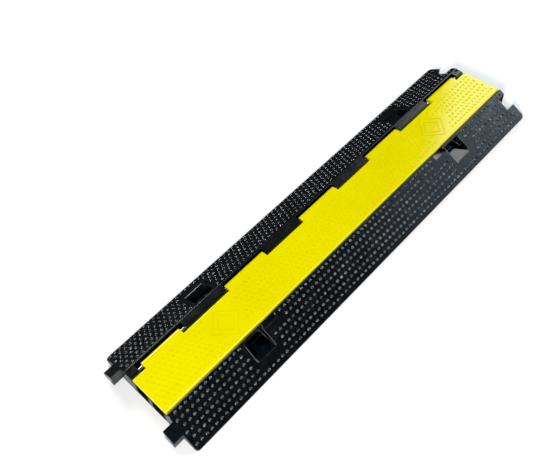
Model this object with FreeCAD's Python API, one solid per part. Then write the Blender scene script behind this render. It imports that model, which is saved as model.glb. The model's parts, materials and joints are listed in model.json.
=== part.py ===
import FreeCAD, Part
import math
import os

# Cable protector ramp: a rubber base with two cable channels, a hinged lid over
# them, and the steel rod that the lid turns on. Millimetres, +Z up.
# +X runs along the ramp, from the tongue end to the socket end. -Y is the side
# that the lid opens from, +Y is the hinge side. The origin is the middle of the
# body's underside, halfway between its two end faces.

# ---- body of the base ----
LENGTH = 1000.0
WIDTH = 245.0
HEIGHT = 45.0
TOE_HEIGHT = 5.0
RIM_Y = 57.0                      # where both slopes reach full height
CORNER_RADIUS = 7.0               # the four toe corners, seen from above
HALF_LENGTH = LENGTH / 2
HALF_WIDTH = WIDTH / 2
SLOPE = (HEIGHT - TOE_HEIGHT) / (HALF_WIDTH - RIM_Y)

# ---- cable channels ----
CHANNEL_WIDTH = 33.0
CHANNEL_FLOOR = 7.0
CHANNEL_RADIUS = 2.0              # fillet along each channel's floor
CHANNEL_CENTRES = (-29.5, 13.0)   # Y of each channel's middle
LEDGE_HEIGHT = 37.0               # top of the ledges and of the divider

# ---- lid ----
LID_GAP = 0.3                     # air between the closed lid and its ledges
LID_BOTTOM = LEDGE_HEIGHT + LID_GAP
LID_LENGTH = 998.0
LID_FRONT_Y = -52.6
LID_REAR_Y = 35.2
LID_FRONT_RADIUS = 1.5
LID_REAR_RADIUS = 3.0
FRONT_GAP = 2.0                   # between the lid's front edge and the front rim

# ---- hinge ----
HINGE_Y = 43.5
HINGE_Z = 37.7
ROD_RADIUS = 3.0
ROD_LENGTH = 988.0
BASE_BORE_RADIUS = 3.03
LID_BORE_RADIUS = 3.06
BORE_END_WALL = 4.0               # rubber left at the blind end of the rod's bore
PLATE_DROP = 0.8                  # base hinge plates sit this far below the lid's top
LID_KNUCKLE_RADIUS = HEIGHT - HINGE_Z
BASE_KNUCKLE_RADIUS = HEIGHT - PLATE_DROP - HINGE_Z
TAB_CENTRES = (-423.0, -209.5, 0.0, 209.5, 423.0)
TAB_LENGTHS = (90.0, 102.0, 104.0, 102.0, 90.0)
TAB_SIDE_GAPS = (10.5, 3.0, 2.5, 3.0, 10.5)
BAY_REAR_Y = 54.0
BAY_FLOOR = HINGE_Z - LID_KNUCKLE_RADIUS - 0.8
BAY_FRONT_Y = HINGE_Y - LID_KNUCKLE_RADIUS - 0.8

# ---- grip pockets, two in each slope ----
POCKET_CENTRES = (-299.0, 304.5)
POCKET_LENGTH = 45.0
FRONT_POCKET_Y = (60.4, 96.5)     # wall side and toe side, measured from the middle
REAR_POCKET_Y = (63.9, 98.0)

# ---- finger notches in the front rim, beside the front pockets ----
NOTCH_LENGTH = 32.0
NOTCH_OFFSET = 42.0               # from a pocket's middle, towards the ramp's middle
NOTCH_FLOOR = 39.0
NOTCH_TOE_Y = 70.0

# ---- tongues at the -X end, sockets at the +X end ----
TONGUE_LENGTH = 22.0
TONGUE_BOTTOM = 8.0
TONGUE_SPANS = ((-92.0, -68.0), (69.0, 95.0))
SOCKET_DEPTH = 22.5
SOCKET_SIDE_GAP = 0.5

ABOVE = 20.0                      # how far a cutting block stands clear of the base


def block(x_span, y_span, z_span):
    """A box between two corners."""
    corner = FreeCAD.Vector(x_span[0], y_span[0], z_span[0])
    return Part.makeBox(x_span[1] - x_span[0], y_span[1] - y_span[0],
                        z_span[1] - z_span[0], corner)


def rod_shape(radius, x_span):
    """A cylinder on the hinge axis."""
    start = FreeCAD.Vector(x_span[0], HINGE_Y, HINGE_Z)
    return Part.makeCylinder(radius, x_span[1] - x_span[0], start, FreeCAD.Vector(1, 0, 0))


def extrude_profile(points, x_span):
    """A prism along X from a closed outline of (y, z) points."""
    vectors = [FreeCAD.Vector(x_span[0], y, z) for y, z in points]
    outline = Part.makePolygon(vectors + vectors[:1])
    return Part.Face(outline).extrude(FreeCAD.Vector(x_span[1] - x_span[0], 0, 0))


def edges_along_x_at(shape, y, z):
    """The straight edges of a shape that run along X through (y, z)."""
    found = []
    for edge in shape.Edges:
        ends = [vertex.Point for vertex in edge.Vertexes]
        if all(math.hypot(end.y - y, end.z - z) < 1e-6 for end in ends):
            found.append(edge)
    return found


def slope_height(y):
    """Height of the bare slope at a distance y from the middle."""
    return HEIGHT - SLOPE * (abs(y) - RIM_Y)


def tab_spans():
    """X span of each hinge tab on the lid."""
    return [(c - n / 2, c + n / 2) for c, n in zip(TAB_CENTRES, TAB_LENGTHS)]


def bay_spans():
    """X span of each bay in the base that a hinge tab turns in."""
    spans = zip(tab_spans(), TAB_SIDE_GAPS)
    return [(low - gap, high + gap) for (low, high), gap in spans]


def notch_spans():
    """X span of each finger notch."""
    spans = []
    for centre in POCKET_CENTRES:
        middle = centre - math.copysign(NOTCH_OFFSET, centre)
        spans.append((middle - NOTCH_LENGTH / 2, middle + NOTCH_LENGTH / 2))
    return spans


def body_block():
    """The base's outer form: two slopes, a flat top and rounded toe corners."""
    outline = [(-HALF_WIDTH, 0), (HALF_WIDTH, 0), (HALF_WIDTH, TOE_HEIGHT),
               (RIM_Y, HEIGHT), (-RIM_Y, HEIGHT), (-HALF_WIDTH, TOE_HEIGHT)]
    body = extrude_profile(outline, (-HALF_LENGTH, HALF_LENGTH))
    plan = block((-HALF_LENGTH, HALF_LENGTH), (-HALF_WIDTH, HALF_WIDTH), (0, HEIGHT))
    upright = [edge for edge in plan.Edges
               if abs(edge.Vertexes[0].Z - edge.Vertexes[-1].Z) > HEIGHT / 2]
    return body.common(plan.makeFillet(CORNER_RADIUS, upright))


def channel_cut(centre):
    """One cable channel, open at both ends, with a fillet along each floor corner."""
    low = centre - CHANNEL_WIDTH / 2
    high = centre + CHANNEL_WIDTH / 2
    reach = HALF_LENGTH + ABOVE
    cut = block((-reach, reach), (low, high), (CHANNEL_FLOOR, HEIGHT + ABOVE))
    corners = edges_along_x_at(cut, low, CHANNEL_FLOOR)
    corners += edges_along_x_at(cut, high, CHANNEL_FLOOR)
    return cut.makeFillet(CHANNEL_RADIUS, corners)


def lid_recess_cut():
    """The room for the lid's plate, down to the ledges."""
    reach = HALF_LENGTH + ABOVE
    return block((-reach, reach), (LID_FRONT_Y - FRONT_GAP, HINGE_Y),
                 (LEDGE_HEIGHT, HEIGHT + ABOVE))


def hinge_plate_cut():
    """Lowers the hinge plates' flat top a little below the lid's."""
    reach = HALF_LENGTH + ABOVE
    return block((-reach, reach), (HINGE_Y, BAY_REAR_Y),
                 (HEIGHT - PLATE_DROP, HEIGHT + ABOVE))


def base_knuckle(x_span):
    """The rounded front of one hinge plate, round the rod."""
    knuckle = rod_shape(BASE_KNUCKLE_RADIUS, x_span)
    root = block(x_span, (HINGE_Y - BASE_KNUCKLE_RADIUS, BAY_REAR_Y),
                 (CHANNEL_FLOOR, HINGE_Z))
    return knuckle.fuse(root)


def bay_cut(x_span):
    """The room that one hinge tab turns in."""
    return block(x_span, (BAY_FRONT_Y, BAY_REAR_Y), (BAY_FLOOR, HEIGHT + ABOVE))


def pocket_cut(centre, y_span, side):
    """A grip pocket: a level floor that runs out where the slope meets it."""
    wall_y, toe_y = y_span
    floor = slope_height(toe_y)
    y_ends = sorted((side * wall_y, side * (toe_y + ABOVE)))
    x_span = (centre - POCKET_LENGTH / 2, centre + POCKET_LENGTH / 2)
    return block(x_span, y_ends, (floor, HEIGHT + ABOVE))


def notch_cut(x_span):
    """A finger notch that bares the lid's front edge."""
    return block(x_span, (-NOTCH_TOE_Y, LID_FRONT_Y - FRONT_GAP / 2),
                 (NOTCH_FLOOR, HEIGHT + ABOVE))


def tongue(y_span):
    """A linking tongue, its top in line with the slope."""
    low, high = y_span
    outline = [(low, TONGUE_BOTTOM), (high, TONGUE_BOTTOM),
               (high, slope_height(high)), (low, slope_height(low))]
    return extrude_profile(outline, (-HALF_LENGTH - TONGUE_LENGTH, -HALF_LENGTH))


def socket_cut(y_span):
    """A linking socket, open upwards, downwards and to the end."""
    low, high = y_span
    return block((HALF_LENGTH - SOCKET_DEPTH, HALF_LENGTH + ABOVE),
                 (low - SOCKET_SIDE_GAP, high + SOCKET_SIDE_GAP),
                 (-ABOVE, HEIGHT + ABOVE))


def make_base():
    """The one-piece rubber base."""
    base = body_block()
    cuts = [channel_cut(centre) for centre in CHANNEL_CENTRES]
    cuts += [lid_recess_cut(), hinge_plate_cut()]
    base = base.cut(cuts)
    base = base.fuse(base_knuckle((-HALF_LENGTH, HALF_LENGTH)))
    base = base.fuse([tongue(span) for span in TONGUE_SPANS])

    cuts = [bay_cut(span) for span in bay_spans()]
    cuts += [socket_cut(span) for span in TONGUE_SPANS]
    cuts += [notch_cut(span) for span in notch_spans()]
    for centre in POCKET_CENTRES:
        cuts.append(pocket_cut(centre, FRONT_POCKET_Y, -1))
        cuts.append(pocket_cut(centre, REAR_POCKET_Y, 1))
    cuts.append(rod_shape(BASE_BORE_RADIUS, (-HALF_LENGTH - ABOVE, HALF_LENGTH - BORE_END_WALL)))
    return base.cut(cuts).removeSplitter()


def lid_plate():
    """The lid's flat plate with its long top edges rounded."""
    half = LID_LENGTH / 2
    plate = block((-half, half), (LID_FRONT_Y, LID_REAR_Y), (LID_BOTTOM, HEIGHT))
    plate = plate.makeFillet(LID_FRONT_RADIUS, edges_along_x_at(plate, LID_FRONT_Y, HEIGHT))
    return plate.makeFillet(LID_REAR_RADIUS, edges_along_x_at(plate, LID_REAR_Y, HEIGHT))


def hinge_tab(x_span):
    """One hinge tab: a web from the plate and a knuckle round the rod."""
    root_y = LID_REAR_Y - 2 * LID_REAR_RADIUS
    web = block(x_span, (root_y, HINGE_Y), (LID_BOTTOM, HEIGHT))
    return web.fuse(rod_shape(LID_KNUCKLE_RADIUS, x_span))


def make_lid():
    """The lid, with its five hinge tabs bored for the rod."""
    lid = lid_plate().fuse([hinge_tab(span) for span in tab_spans()])
    bore = rod_shape(LID_BORE_RADIUS, (-HALF_LENGTH, HALF_LENGTH))
    return lid.cut(bore).removeSplitter()


def make_hinge_rod():
    """The steel rod through every knuckle."""
    return rod_shape(ROD_RADIUS, (-ROD_LENGTH / 2, ROD_LENGTH / 2))


def main():
    os.makedirs("parts", exist_ok=True)
    pieces = {"base": make_base(), "lid": make_lid(), "hinge_rod": make_hinge_rod()}
    for name, shape in pieces.items():
        print(name, "solids", len(shape.Solids), "valid", shape.isValid(),
              "cm3", round(shape.Volume / 1000, 1))
        shape.exportStep(os.path.join("parts", name + ".step"))


main()
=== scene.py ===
import json
import math
import random

import bmesh
import bpy
from mathutils import Matrix, Vector


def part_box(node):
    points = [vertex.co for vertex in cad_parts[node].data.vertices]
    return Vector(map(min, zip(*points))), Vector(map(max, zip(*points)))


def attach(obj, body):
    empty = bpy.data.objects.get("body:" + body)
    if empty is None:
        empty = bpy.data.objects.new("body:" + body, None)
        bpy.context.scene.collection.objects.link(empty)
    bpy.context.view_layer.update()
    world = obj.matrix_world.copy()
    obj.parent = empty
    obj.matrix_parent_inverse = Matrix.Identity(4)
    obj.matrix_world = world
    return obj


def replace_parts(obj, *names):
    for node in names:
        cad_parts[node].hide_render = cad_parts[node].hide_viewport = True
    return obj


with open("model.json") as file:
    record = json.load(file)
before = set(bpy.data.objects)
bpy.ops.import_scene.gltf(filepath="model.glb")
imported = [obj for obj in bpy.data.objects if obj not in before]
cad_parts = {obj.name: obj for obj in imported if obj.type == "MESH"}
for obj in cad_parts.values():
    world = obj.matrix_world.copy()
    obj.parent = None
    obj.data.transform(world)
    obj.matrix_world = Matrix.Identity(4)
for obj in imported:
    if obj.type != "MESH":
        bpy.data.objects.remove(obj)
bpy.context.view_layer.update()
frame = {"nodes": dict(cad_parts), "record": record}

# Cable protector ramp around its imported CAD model. Metres, the frame of the model:
# X runs along the ramp, -Y is the side that the lid opens from, +Y is the hinge side.
MM = 0.001

# ---- places read from the frame ----
base_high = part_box("base")[1]
lid_low, lid_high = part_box("lid")
OPENINGS = {o["name"]: o["box_m"] for o in frame["record"]["physics"]["openings"]}
END_X = base_high.x                  # the base's two end faces are at -END_X and END_X
HALF_WIDTH = base_high.y
TOP = base_high.z
RIM_Y = 57.0 * MM                    # where both slopes reach full height
TOE_HEIGHT = 5.0 * MM                # of the slopes' lower edges
SLOPE_RUN = HALF_WIDTH - RIM_Y
SLOPE_LENGTH = math.hypot(SLOPE_RUN, TOP - TOE_HEIGHT)

# ---- rubber studs on the slopes ----
STUD_PITCH = 11.75 * MM
STUD_RADIUS = 3.5 * MM
STUD_HEIGHT = 2.0 * MM
STUD_RINGS = 5
STUD_SINK = 0.5 * MM                 # how far a stud's foot reaches into the slope
ROW_COUNT = 6
FRONT_FIRST_ROW = 5.2 * MM           # down the slope from the rim
FRONT_ROW_STEP = 12.4 * MM
REAR_FIRST_ROW = 9.0 * MM
REAR_ROW_STEP = 12.65 * MM
END_MARGIN = 7.5 * MM                # least distance from an end face to a stud's middle
POCKET_MARGIN = 11.0 * MM            # no stud's middle is this near a grip pocket or a notch
SOCKET_MARGIN = 4.0 * MM             # and none is this near a socket

# ---- dots, panels and bead on the lid ----
DOT_ROWS = 7
DOT_ROW_STEP = 10.55 * MM
DOT_FIRST_Y = 23.3 * MM
DOT_PITCH = 10.4 * MM
DOT_RADIUS = 3.1 * MM
DOT_HEIGHT = 0.6 * MM
DOT_RINGS = 4
DOT_END_X = 489.0 * MM
LID_SINK = 0.3 * MM                  # how far the dots, panels and bead reach into the lid
PANEL_X = 313.0 * MM
PANEL_Y = -8.0 * MM
PANEL_HALF = 34.0 * MM               # half a diagonal
PANEL_CLEAR_X = 50.0 * MM            # half diagonals of the zone with no dots
PANEL_CLEAR_Y = 67.0 * MM
PANEL_LINE = 2.0 * MM
PANEL_HEIGHT = 0.45 * MM
PANEL_LEAN = 0.35 * PANEL_HEIGHT     # how far a line's sides slope in
INNER_HALF = 0.62 * PANEL_HALF       # of the diamond inside a panel
INNER_LINE = 0.8 * PANEL_LINE
BEAD_HEIGHT = 0.5 * MM               # the raised line along the lid's front edge
BEAD_SIDES = (0.9 * MM, 3.7 * MM)    # how far in from that edge its two sides are
BEAD_STEPS = 8

# ---- domes, for both studs and dots ----
DOME_SIDES = 14
SIZE_SPREAD = (0.97, 1.03)           # each dome's size is picked between these

# ---- edges ----
EDGE_RADIUS = 1.1 * MM               # on outer edges
RIM_RADIUS = 0.4 * EDGE_RADIUS       # on both edges of the narrow rear rim
FILLET_RADIUS = 1.8 * MM             # in the corners of the grip pockets
EDGE_SEGMENTS = 3
SHARP_ANGLE = math.radians(25)
PLATE_FRONT_Y = 36.0 * MM            # the hinge plates' front edge
PLATE_REAR_Y = 54.0 * MM             # their rear edge, where the rear rim stands up
PLATE_DEPTH = 9.0 * MM               # how far below the top their finish reaches

# ---- camera ----
CAMERA_PLACE = Vector((-0.6807, -0.5406, 1.1982))
CAMERA_AZIMUTH = math.radians(-38.04)
CAMERA_ELEVATION = math.radians(49.39)
CAMERA_ROLL = math.radians(-9.10)
CAMERA_LENS = 48.92
CAMERA_SHIFT = (0.0795, -0.1021)
BLACK_POINT = 0.008

# ---- studio ----
WHITE = (1.0, 1.0, 1.0)
SEEN_WORLD = 0.85                    # the world's strength: this much more for the camera,
WORLD_FILL = 0.16                    # this much more for diffuse rays,
REFLECTED_WORLD = 0.028              # and only this in reflections
FLOOR_HALF = 9.0
FLOOR_GAP = 0.2 * MM                 # the floor lies this far below the ramp
FLOOR_GLOW = 0.13
STRIP_NEAR = (-0.48, -0.52)          # X over which the strip in floor_paint fades in
STRIP_FAR = (-0.9, -0.6)             # and X over which it fades out


# ======================= materials =======================

class Finish:
    """A node material with one Principled shader and short ways to add nodes to it."""

    def __init__(self, name):
        self.material = bpy.data.materials.new(name)
        self.material.use_nodes = True
        self.tree = self.material.node_tree
        self.shader = self.tree.nodes["Principled BSDF"]
        self.place = self.node("ShaderNodeTexCoord").outputs["Object"]

    def node(self, kind, **settings):
        made = self.tree.nodes.new(kind)
        for key, value in settings.items():
            setattr(made, key, value)
        return made

    def link(self, source, target):
        self.tree.links.new(source, target)

    def noise(self, scale, detail=3.0, roughness=0.55, stretch=(1, 1, 1)):
        """Noise with about scale bumps to the metre, drawn out along an axis by a small stretch."""
        mapping = self.node("ShaderNodeMapping")
        mapping.inputs["Scale"].default_value = stretch
        self.link(self.place, mapping.inputs["Vector"])
        made = self.node("ShaderNodeTexNoise")
        made.inputs["Scale"].default_value = scale
        made.inputs["Detail"].default_value = detail
        made.inputs["Roughness"].default_value = roughness
        self.link(mapping.outputs["Vector"], made.inputs["Vector"])
        return made.outputs["Fac"]

    def remap(self, value, low, high, to_low=0.0, to_high=1.0):
        made = self.node("ShaderNodeMapRange", interpolation_type="SMOOTHSTEP")
        made.inputs["From Min"].default_value = low
        made.inputs["From Max"].default_value = high
        made.inputs["To Min"].default_value = to_low
        made.inputs["To Max"].default_value = to_high
        self.link(value, made.inputs["Value"])
        return made.outputs["Result"]

    def times(self, a, b):
        made = self.node("ShaderNodeMath", operation="MULTIPLY")
        for socket, value in zip(made.inputs, (a, b)):
            if isinstance(value, (int, float)):
                socket.default_value = value
            else:
                self.link(value, socket)
        return made.outputs["Value"]

    def blend(self, factor, first, second):
        """A colour between two, each an RGB triple or a socket."""
        made = self.node("ShaderNodeMix", data_type="RGBA")
        self.link(factor, made.inputs["Factor"])
        for name, colour in (("A", first), ("B", second)):
            socket = [s for s in made.inputs if s.name == name and s.type == "RGBA"][0]
            if isinstance(colour, tuple):
                socket.default_value = (*colour, 1.0)
            else:
                self.link(colour, socket)
        return [s for s in made.outputs if s.type == "RGBA"][0]

    def bump(self, height, strength, distance):
        made = self.node("ShaderNodeBump")
        made.inputs["Strength"].default_value = strength
        made.inputs["Distance"].default_value = distance
        self.link(height, made.inputs["Height"])
        self.link(made.outputs["Normal"], self.shader.inputs["Normal"])


def rubber(name, colour, dust_and_highlight_colour, dust_and_highlight_share, roughness, shine, index=1.5, relief=0.10):
    """Moulded black rubber: fine grain, faint dust in patches and uneven gloss.

    dust_and_highlight_share is how much of the paler colour shows in patches: dust, and on the
    edges also a painted highlight; relief is how strong the grain is."""
    finish = Finish(name)
    patches = finish.remap(finish.noise(7, detail=4), 0.42, 0.68)
    smudges = finish.remap(finish.noise(75, detail=5, roughness=0.65), 0.45, 0.75)
    specks = finish.remap(finish.noise(900, detail=2), 0.62, 0.80)
    grain = finish.noise(1500, roughness=0.6)
    dust = finish.times(finish.times(patches, smudges), dust_and_highlight_share)
    paler = tuple(1.8 * c for c in colour)
    bare = finish.blend(finish.times(specks, 0.35), colour, paler)
    finish.link(finish.blend(dust, bare, dust_and_highlight_colour), finish.shader.inputs["Base Color"])
    gloss = finish.remap(finish.noise(40, detail=4), 0.30, 0.70, roughness - 0.04, roughness + 0.06)
    finish.link(gloss, finish.shader.inputs["Roughness"])
    finish.bump(grain, strength=relief, distance=0.08 * MM)
    finish.shader.inputs["Specular IOR Level"].default_value = shine
    finish.shader.inputs["IOR"].default_value = index
    return finish.material


def pvc(name, colour, deeper, roughness, shine=0.5):
    """Yellow moulded PVC: slightly uneven colour, faint scuffs and a fine grain."""
    finish = Finish(name)
    clouds = finish.remap(finish.noise(11, detail=4), 0.35, 0.70)
    streaks = finish.noise(160, detail=4, roughness=0.6, stretch=(0.25, 1, 1))
    scuffs = finish.remap(streaks, 0.60, 0.82)
    grain = finish.noise(1300, roughness=0.6)
    body = finish.blend(clouds, colour, deeper)
    scuffed = finish.blend(finish.times(scuffs, 0.30), body, (0.80, 0.72, 0.015))
    finish.link(scuffed, finish.shader.inputs["Base Color"])
    gloss = finish.remap(finish.noise(55, detail=4), 0.30, 0.70, roughness - 0.03, roughness + 0.05)
    finish.link(gloss, finish.shader.inputs["Roughness"])
    finish.bump(grain, strength=0.05, distance=0.05 * MM)
    finish.shader.inputs["Specular IOR Level"].default_value = shine
    return finish.material


def steel(name):
    """Drawn steel rod: bright, with fine rings from turning and a little tarnish."""
    finish = Finish(name)
    rings = finish.noise(700, roughness=0.7, stretch=(4, 0.3, 0.3))
    tarnish = finish.remap(finish.noise(60, detail=5), 0.48, 0.75)
    colour = finish.blend(finish.times(tarnish, 0.6), (0.62, 0.62, 0.60), (0.30, 0.27, 0.23))
    finish.link(colour, finish.shader.inputs["Base Color"])
    gloss = finish.remap(rings, 0.3, 0.7, 0.20, 0.36)
    finish.link(gloss, finish.shader.inputs["Roughness"])
    finish.shader.inputs["Metallic"].default_value = 1.0
    finish.bump(rings, strength=0.15, distance=0.05 * MM)
    return finish.material


def floor_paint():
    """The plain pale floor, glowing a little so that only the closest shadow shows.

    Where the rubber mirrors it, it is dark but for a pale strip past the near end."""
    finish = Finish("floor_pale")
    tone = finish.remap(finish.noise(3), 0.3, 0.7)
    pale = finish.blend(tone, (0.90, 0.90, 0.90), (0.88, 0.88, 0.885))
    split = finish.node("ShaderNodeSeparateXYZ")
    finish.link(finish.place, split.inputs["Vector"])
    along = split.outputs["X"]
    past_end = finish.times(finish.remap(along, *STRIP_NEAR), finish.remap(along, *STRIP_FAR))
    in_mirror = finish.blend(past_end, (0.08, 0.08, 0.08), (0.85, 0.85, 0.85))
    mirrored = finish.node("ShaderNodeLightPath").outputs["Is Glossy Ray"]
    finish.link(finish.blend(mirrored, pale, in_mirror), finish.shader.inputs["Base Color"])
    finish.shader.inputs["Emission Color"].default_value = (*WHITE, 1.0)
    glow = finish.remap(mirrored, 0.0, 1.0, FLOOR_GLOW, 0.0)
    finish.link(glow, finish.shader.inputs["Emission Strength"])
    finish.shader.inputs["Roughness"].default_value = 0.9
    finish.shader.inputs["Specular IOR Level"].default_value = 0.1
    return finish.material


BLACK = (0.0085, 0.0100, 0.0112)
DUST = (0.030, 0.030, 0.029)
# The next two colours are a paler black with pale patches: a painted highlight along the rounded
# edges and a painted reflection on the tongues' tops, with some dust.
EDGE_BLACK_PAINTED_HIGHLIGHT = (0.015, 0.0155, 0.016)
EDGE_DUST_AND_PAINTED_HIGHLIGHT = (0.07, 0.07, 0.068)
PLATE_BLACK = (0.009, 0.0105, 0.0105)
rubber_slope = rubber("rubber_slope", BLACK, DUST, dust_and_highlight_share=0.30, roughness=0.24, shine=0.24)
rubber_plain = rubber("rubber_plain", BLACK, DUST, dust_and_highlight_share=0.40, roughness=0.15, shine=0.60)
# Paler edge finish: painted highlight on the edges, painted reflection on the tongues' tops, with
# some dust.
rubber_edge_painted_highlight = rubber("rubber_pale_edge_painted_highlight", EDGE_BLACK_PAINTED_HIGHLIGHT, EDGE_DUST_AND_PAINTED_HIGHLIGHT, dust_and_highlight_share=0.7, roughness=0.20, shine=0.8)
rubber_stud = rubber("rubber_stud", BLACK, DUST, dust_and_highlight_share=0.25, roughness=0.11, shine=0.80,
                     index=1.8, relief=0.03)
rubber_plate = rubber("rubber_hinge_plate", PLATE_BLACK, DUST, dust_and_highlight_share=0.4, roughness=0.27,
                      shine=0.80)
pvc_body = pvc("pvc_yellow", (0.79, 0.71, 0.0006), (0.76, 0.665, 0.0006), roughness=0.10)
# Lid edges and the front bead: a paler, whiter yellow than the lid, a painted highlight.
pvc_edge_painted_highlight = pvc("pvc_yellow_edge_painted_highlight", (0.83, 0.78, 0.060), (0.80, 0.74, 0.040), roughness=0.12)
# Dots and panels: a slightly deeper yellow than the lid, painted shade.
pvc_dot_painted_shade = pvc("pvc_yellow_dot_painted_shade", (0.765, 0.68, 0.0006), (0.735, 0.64, 0.0006), roughness=0.50,
              shine=0.10)
rod_steel = steel("steel_rod")

# Places in a moulding's list of materials. The lid has only the first two.
PLAIN, EDGE, SLOPE, PLATE = range(4)


# ======================= mesh helpers =======================

def add_object(name, data):
    """A new object with some data, in the scene."""
    made = bpy.data.objects.new(name, data)
    bpy.context.scene.collection.objects.link(made)
    return made


def add_piece(name, mesh, body, materials=()):
    """Makes a piece of a mesh: in the scene, on its body, with its finish."""
    piece = add_object(name, mesh)
    for material in materials:
        mesh.materials.append(material)
    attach(piece, body)
    return piece


def finished_mesh(mesh, modifiers):
    """The mesh that a list of (type, settings) modifiers leaves, as a new mesh."""
    holder = add_object("holder", mesh)
    for kind, settings in modifiers:
        modifier = holder.modifiers.new(kind.lower(), kind)
        for key, value in settings.items():
            setattr(modifier, key, value)
    graph = bpy.context.evaluated_depsgraph_get()
    made = bpy.data.meshes.new_from_object(holder.evaluated_get(graph))
    bpy.data.objects.remove(holder)
    return made


def mesh_from(made, name):
    """The mesh of a bmesh, which is freed."""
    mesh = bpy.data.meshes.new(name)
    made.to_mesh(mesh)
    made.free()
    return mesh


def inside(point, box, margin):
    """True if a point's X and Y lie in a box grown by a margin."""
    low, high = box
    return all(low[i] - margin < point[i] < high[i] + margin for i in (0, 1))


def is_sharp(edge):
    return len(edge.link_faces) == 2 and edge.calc_face_angle(0.0) > SHARP_ANGLE


def in_pocket(point):
    return any("pocket" in name and inside(point, box, 1.5 * MM) for name, box in OPENINGS.items())


def lies_along(edge, y):
    return all(abs(v.co.y - y) < 0.1 * MM for v in edge.verts)


def edge_radius(edge):
    """The radius an edge is rounded to, 0 if it stays sharp or flat.

    Of the inner corners only those of the grip pockets are rounded."""
    if not is_sharp(edge):
        return 0.0
    if not edge.is_convex:
        return FILLET_RADIUS if all(in_pocket(v.co) for v in edge.verts) else 0.0
    on_rear_rim = lies_along(edge, PLATE_REAR_Y) or lies_along(edge, RIM_Y)
    return RIM_RADIUS if on_rear_rim else EDGE_RADIUS


def rounded_copy(node, materials, finish_index):
    """A copy of a CAD node's mesh with its edges rounded, for the piece that replaces it.

    finish_index gives each face its material. The rounded edges take EDGE."""
    made = bmesh.new()
    made.from_mesh(frame["nodes"][node].data)
    bmesh.ops.remove_doubles(made, verts=made.verts, dist=0.002 * MM)
    bmesh.ops.dissolve_limit(made, angle_limit=math.radians(0.5),
                             use_dissolve_boundaries=False, verts=made.verts, edges=made.edges)
    weights = made.edges.layers.float.new("bevel_weight_edge")
    for edge in made.edges:
        radius = edge_radius(edge)
        edge[weights] = radius / FILLET_RADIUS
        edge.smooth = radius > 0 or not is_sharp(edge)
    for face in made.faces:
        face.smooth = True
        face.material_index = finish_index(face)
    mesh = bpy.data.meshes.new(node + "_rounded")
    for material in materials:
        mesh.materials.append(material)
    made.to_mesh(mesh)
    made.free()
    bevel = {"width": FILLET_RADIUS, "segments": EDGE_SEGMENTS, "limit_method": "WEIGHT",
             "use_clamp_overlap": False, "material": EDGE, "miter_outer": "MITER_ARC"}
    weighted = {"keep_sharp": True, "weight": 60}
    return finished_mesh(mesh, [("BEVEL", bevel), ("WEIGHTED_NORMAL", weighted)])


def dome_rings(radius, height, rings):
    """(radius, height) of each ring of a cap of a ball, from its foot to near its top."""
    ball = (radius ** 2 + height ** 2) / (2 * height)
    foot = math.asin(radius / ball)
    turns = [foot * (1 - i / rings) for i in range(rings)]
    return [(ball * math.sin(t), ball * math.cos(t) - ball + height) for t in turns]


def dome_points(place, size, outline, normal, height):
    """The points of one dome: its rings from the sunk foot up, then its top."""
    along = Vector((1, 0, 0))
    across = normal.cross(along)
    points = []
    for ring_radius, ring_height in outline:
        for i in range(DOME_SIDES):
            angle = 2 * math.pi * i / DOME_SIDES
            out = along * math.cos(angle) + across * math.sin(angle)
            points.append(place + size * (out * ring_radius + normal * ring_height))
    points.append(place + size * normal * height)
    return points


def dome_faces(first, ring_count):
    """The faces of a dome whose points start at first: between rings, at the top, underneath."""
    faces = []
    last = first + (ring_count - 1) * DOME_SIDES
    for low in range(first, last, DOME_SIDES):
        for i in range(DOME_SIDES):
            j = (i + 1) % DOME_SIDES
            faces.append((low + i, low + j, low + DOME_SIDES + j, low + DOME_SIDES + i))
    top = last + DOME_SIDES
    faces += [(last + i, last + (i + 1) % DOME_SIDES, top) for i in range(DOME_SIDES)]
    faces.append(tuple(first + i for i in reversed(range(DOME_SIDES))))
    return faces


def dome_field(name, places, radius, height, normal, rings, sink):
    """One mesh of closed domes, each standing on its place along the normal, its foot sunk in."""
    outline = [(radius, -sink)] + dome_rings(radius, height, rings)
    chance = random.Random(len(places))
    points = []
    faces = []
    for place in places:
        size = chance.uniform(*SIZE_SPREAD)
        faces += dome_faces(len(points), len(outline))
        points += dome_points(place, size, outline, normal, height)
    mesh = bpy.data.meshes.new(name)
    mesh.from_pydata(points, [], faces)
    mesh.shade_smooth()
    return mesh


# ======================= base =======================

def slope_place(x, down, side):
    """The point on a slope a distance down from the rim. side is -1 in front and 1 behind."""
    share = down / SLOPE_LENGTH
    return Vector((x, side * (RIM_Y + share * SLOPE_RUN), TOP - share * (TOP - TOE_HEIGHT)))


def slope_normal(side):
    return Vector((0, side * (TOP - TOE_HEIGHT), SLOPE_RUN)).normalized()


def near_opening(point, side_name):
    """True where a slope has no stud: in and round its pockets, the notches and the sockets."""
    for name, box in OPENINGS.items():
        if "pocket" in name and side_name in name and inside(point, box, POCKET_MARGIN):
            return True
        if "notch" in name and inside(point, box, POCKET_MARGIN):
            return True
        if "socket" in name and inside(point, box, SOCKET_MARGIN):
            return True
    return False


def stud_places(side, side_name, first_row, row_step):
    """Where one slope's studs stand: rows half a pitch out of step with each other."""
    places = []
    for row in range(ROW_COUNT):
        offset = STUD_PITCH / 2 if row % 2 == 0 else 0.0
        count = int((2 * (END_X - END_MARGIN) - offset) / STUD_PITCH) + 1
        for i in range(count):
            x = -END_X + END_MARGIN + offset + i * STUD_PITCH
            place = slope_place(x, first_row + row * row_step, side)
            if not near_opening(place, side_name):
                places.append(place)
    return places


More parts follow.
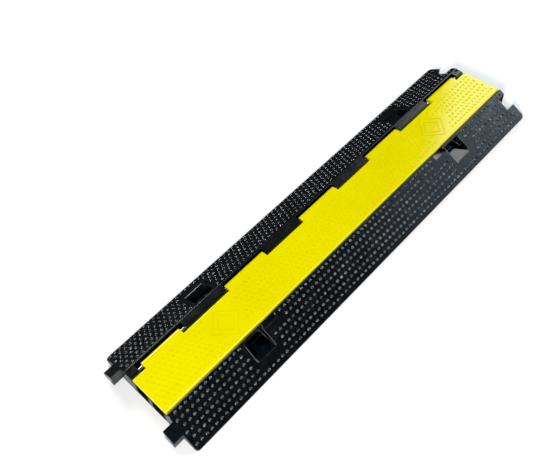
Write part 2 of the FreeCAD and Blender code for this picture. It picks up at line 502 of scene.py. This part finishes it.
def base_finish(face):
    """A face's material: the tongues' tops take the edges' paler finish, a painted reflection."""
    middle = face.calc_center_median()
    up = face.normal.z
    on_tongue = middle.x < -END_X and up > 0.5
    on_slope = abs(face.normal.y) > 0.4 and 0.8 < up < 0.9
    on_plate = PLATE_FRONT_Y < middle.y < RIM_Y and middle.z > TOP - PLATE_DEPTH and up > 0.2
    if on_tongue:
        return EDGE
    if on_slope:
        return SLOPE
    return PLATE if on_plate else PLAIN


def build_base():
    mesh = rounded_copy("base", [rubber_plain, rubber_edge_painted_highlight, rubber_slope, rubber_plate],
                        base_finish)
    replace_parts(add_piece("base_moulding", mesh, "base"), "base")
    for side, side_name, first, step in ((-1, "front", FRONT_FIRST_ROW, FRONT_ROW_STEP),
                                         (1, "rear", REAR_FIRST_ROW, REAR_ROW_STEP)):
        places = stud_places(side, side_name, first, step)
        mesh = dome_field(side_name + "_tread", places, STUD_RADIUS, STUD_HEIGHT,
                          slope_normal(side), STUD_RINGS, STUD_SINK)
        add_piece(side_name + "_tread", mesh, "base", [rubber_stud])


# ======================= lid =======================

def in_panel_zone(x, y):
    """True in the diamond round either panel that has no dots."""
    reach = abs(abs(x) - PANEL_X) / PANEL_CLEAR_X + abs(y - PANEL_Y) / PANEL_CLEAR_Y
    return reach < 1


def dot_places():
    """The lid's anti-slip dots, in rows half a pitch out of step, clear of the diamond panels."""
    places = []
    for row in range(DOT_ROWS):
        y = DOT_FIRST_Y - row * DOT_ROW_STEP
        start = -DOT_END_X + (DOT_PITCH / 2 if row % 2 else 0.0)
        count = int((DOT_END_X - start) / DOT_PITCH) + 1
        for i in range(count):
            x = start + i * DOT_PITCH
            if not in_panel_zone(x, y):
                places.append(Vector((x, y, TOP)))
    return places


def diamond_ring(made, centre, outer, line):
    """A low raised diamond outline with its sides sloping in."""
    inner = outer - line
    levels = [(outer, -LID_SINK), (outer - PANEL_LEAN, PANEL_HEIGHT),
              (inner + PANEL_LEAN, PANEL_HEIGHT), (inner, -LID_SINK)]
    rings = []
    for half, z in levels:
        corners = ((half, 0), (0, half), (-half, 0), (0, -half))
        rings.append([made.verts.new(centre + Vector((x, y, z))) for x, y in corners])
    for ring, following in zip(rings, rings[1:] + rings[:1]):
        for i in range(4):
            j = (i + 1) % 4
            made.faces.new((ring[i], ring[j], following[j], following[i]))


def panel_mesh(centre):
    """A plain diamond panel: two nested outlines."""
    made = bmesh.new()
    diamond_ring(made, centre, PANEL_HALF, PANEL_LINE)
    diamond_ring(made, centre, INNER_HALF, INNER_LINE)
    bmesh.ops.recalc_face_normals(made, faces=made.faces)
    return mesh_from(made, "panel")


def bead_mesh(y_span, end_x):
    """A low rounded bead along the lid, its section half an ellipse."""
    middle = sum(y_span) / 2
    half = (y_span[1] - y_span[0]) / 2
    section = [(middle + half, -LID_SINK)]
    for i in range(BEAD_STEPS + 1):
        turn = math.pi * i / BEAD_STEPS
        section.append((middle + half * math.cos(turn), BEAD_HEIGHT * math.sin(turn)))
    section.append((middle - half, -LID_SINK))
    made = bmesh.new()
    ends = [[made.verts.new((x, y, TOP + z)) for y, z in section] for x in (-end_x, end_x)]
    for i in range(len(section)):
        j = (i + 1) % len(section)
        made.faces.new((ends[0][i], ends[0][j], ends[1][j], ends[1][i]))
    made.faces.new(list(reversed(ends[0])))
    made.faces.new(ends[1])
    bmesh.ops.recalc_face_normals(made, faces=made.faces)
    mesh = mesh_from(made, "bead")
    mesh.shade_smooth()
    mesh.set_sharp_from_angle(angle=math.radians(50))
    return mesh


def build_lid():
    mesh = rounded_copy("lid", [pvc_body, pvc_edge_painted_highlight], lambda face: PLAIN)
    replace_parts(add_piece("lid_moulding", mesh, "lid"), "lid")
    bead = bead_mesh([lid_low.y + side for side in BEAD_SIDES], lid_high.x - EDGE_RADIUS)
    add_piece("lid_front_bead", bead, "lid", [pvc_edge_painted_highlight])
    dots = dome_field("lid_dots", dot_places(), DOT_RADIUS, DOT_HEIGHT, Vector((0, 0, 1)),
                      DOT_RINGS, LID_SINK)
    add_piece("lid_dots", dots, "lid", [pvc_dot_painted_shade])
    for name, x in (("near", -PANEL_X), ("far", PANEL_X)):
        mesh = panel_mesh(Vector((x, PANEL_Y, TOP)))
        add_piece("lid_panel_" + name, mesh, "lid", [pvc_dot_painted_shade])


def build_rod():
    rod = frame["nodes"]["hinge_rod"]
    rod.data.materials.clear()
    rod.data.materials.append(rod_steel)
    rod.data.shade_smooth()
    rod.data.set_sharp_from_angle(angle=math.radians(40))


# ======================= studio =======================

def build_floor():
    made = bmesh.new()
    corners = ((-FLOOR_HALF, -FLOOR_HALF), (FLOOR_HALF, -FLOOR_HALF),
               (FLOOR_HALF, FLOOR_HALF), (-FLOOR_HALF, FLOOR_HALF))
    made.faces.new([made.verts.new((x, y, -FLOOR_GAP)) for x, y in corners])
    mesh = mesh_from(made, "floor")
    floor = add_object("floor", mesh)
    mesh.materials.append(floor_paint())


def area_light(name, place, facing, size, radiance, colour):
    """A rectangular light at a place, with a given radiance. facing points from the ramp to it."""
    data = bpy.data.lights.new(name, "AREA")
    data.color = colour
    data.shape = "RECTANGLE"
    data.size, data.size_y = size
    data.energy = radiance * math.pi * size[0] * size[1]
    lamp = add_object(name, data)
    lamp.location = place
    lamp.rotation_mode = "QUATERNION"
    lamp.rotation_quaternion = facing.to_track_quat("Z", "Y")


def softbox(name, bearing, distance, size, radiance, colour=WHITE):
    """A light that faces the ramp.

    bearing is its azimuth from +X towards +Y and its height above the horizon, in degrees."""
    azimuth, height = (math.radians(angle) for angle in bearing)
    direction = Vector((math.cos(azimuth) * math.cos(height),
                        math.sin(azimuth) * math.cos(height), math.sin(height)))
    area_light(name, direction * distance, direction, size, radiance, colour)


def upright_window(name, x, y_span, z_span, radiance):
    """A white light that stands upright across the +X side of the studio."""
    place = Vector((x, sum(y_span) / 2, sum(z_span) / 2))
    size = (y_span[1] - y_span[0], z_span[1] - z_span[0])
    area_light(name, place, Vector((1, 0, 0)), size, radiance, WHITE)


def build_world():
    """Pale to the camera, a dim fill on matt surfaces and nearly dark in reflections."""
    world = bpy.data.worlds.new("studio")
    bpy.context.scene.world = world
    world.use_nodes = True
    tree = world.node_tree
    background = tree.nodes["Background"]
    background.inputs["Color"].default_value = (0.95, 0.97, 1.0, 1.0)
    path = tree.nodes.new("ShaderNodeLightPath")
    seen = tree.nodes.new("ShaderNodeMath")
    seen.operation = "MULTIPLY_ADD"
    seen.inputs[1].default_value = SEEN_WORLD
    seen.inputs[2].default_value = REFLECTED_WORLD
    fill = tree.nodes.new("ShaderNodeMath")
    fill.operation = "MULTIPLY_ADD"
    fill.inputs[1].default_value = WORLD_FILL
    tree.links.new(path.outputs["Is Camera Ray"], seen.inputs[0])
    tree.links.new(path.outputs["Is Diffuse Ray"], fill.inputs[0])
    tree.links.new(seen.outputs["Value"], fill.inputs[2])
    tree.links.new(fill.outputs["Value"], background.inputs["Strength"])


def build_lights():
    softbox("key_left", bearing=(-154, 35), distance=2.6, size=(0.5, 0.5), radiance=66)
    softbox("key_right", bearing=(-19, 24), distance=4.2, size=(0.7, 0.7), radiance=50)
    softbox("rear_light", bearing=(88, 33), distance=2.8, size=(0.9, 0.7), radiance=14.5)
    softbox("blue_window", bearing=(-33, 31), distance=3.2, size=(1.5, 1.2), radiance=2.6,
            colour=(0.60, 0.80, 1.0))
    upright_window("far_window", x=3.0, y_span=(0.35, 1.34), z_span=(1.5, 3.9), radiance=4.2)
    build_world()


def build_camera():
    data = bpy.data.cameras.new("camera")
    data.sensor_width = 36.0
    data.lens = CAMERA_LENS
    data.shift_x, data.shift_y = CAMERA_SHIFT
    level = math.cos(CAMERA_ELEVATION)
    back = Vector((math.sin(CAMERA_AZIMUTH) * level, -math.cos(CAMERA_AZIMUTH) * level,
                   math.sin(CAMERA_ELEVATION)))
    flat_right = Vector((math.cos(CAMERA_AZIMUTH), math.sin(CAMERA_AZIMUTH), 0))
    flat_up = back.cross(flat_right)
    right = flat_right * math.cos(CAMERA_ROLL) + flat_up * math.sin(CAMERA_ROLL)
    up = back.cross(right)
    camera = add_object("camera", data)
    camera.rotation_mode = "QUATERNION"
    camera.rotation_quaternion = Matrix((right, up, back)).transposed().to_quaternion()
    camera.location = CAMERA_PLACE
    bpy.context.scene.camera = camera


def build_tone():
    """A plain display transform with slightly deeper blacks."""
    settings = bpy.context.scene.view_settings
    settings.view_transform = "Standard"
    settings.use_curve_mapping = True
    settings.curve_mapping.black_level = (BLACK_POINT,) * 3
    settings.curve_mapping.update()


build_camera()
build_base()
build_lid()
build_rod()
build_floor()
build_lights()
build_tone()
